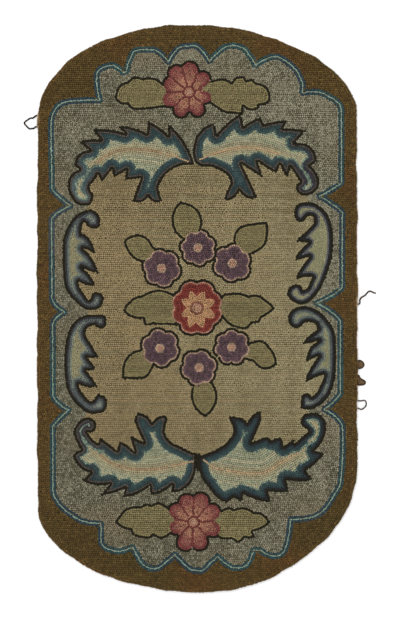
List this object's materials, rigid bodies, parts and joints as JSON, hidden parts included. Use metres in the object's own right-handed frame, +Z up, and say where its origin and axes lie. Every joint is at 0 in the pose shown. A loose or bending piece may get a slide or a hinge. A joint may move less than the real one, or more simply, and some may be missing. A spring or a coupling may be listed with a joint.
{
  "type": "hooked rug",
  "caption": "Flat hooked wool rug with rounded ends, a scrolled leaf and flower pattern inside a scalloped line, and a few strands of edge yarn pulled loose at its sides.",
  "frame": {"origin": "middle of the underside of the rug's bounding box, on the floor", "axes": "+Y along the rug, +X across it, +Z up out of the pile"},
  "size_m": [0.8454, 1.361, 0.0094],
  "materials": {
    "hooked_wool": "matte looped wool",
    "edge_yarn": "matte twisted wool"
  },
  "bodies": {
    "root": {"hooked_panel": "hooked_wool", "pulled_loop_left": "edge_yarn", "pulled_tail_right": "edge_yarn", "pulled_curl_right": "edge_yarn", "pulled_fold_right": "edge_yarn", "pulled_loop_right": "edge_yarn"}
  },
  "joints": []
}
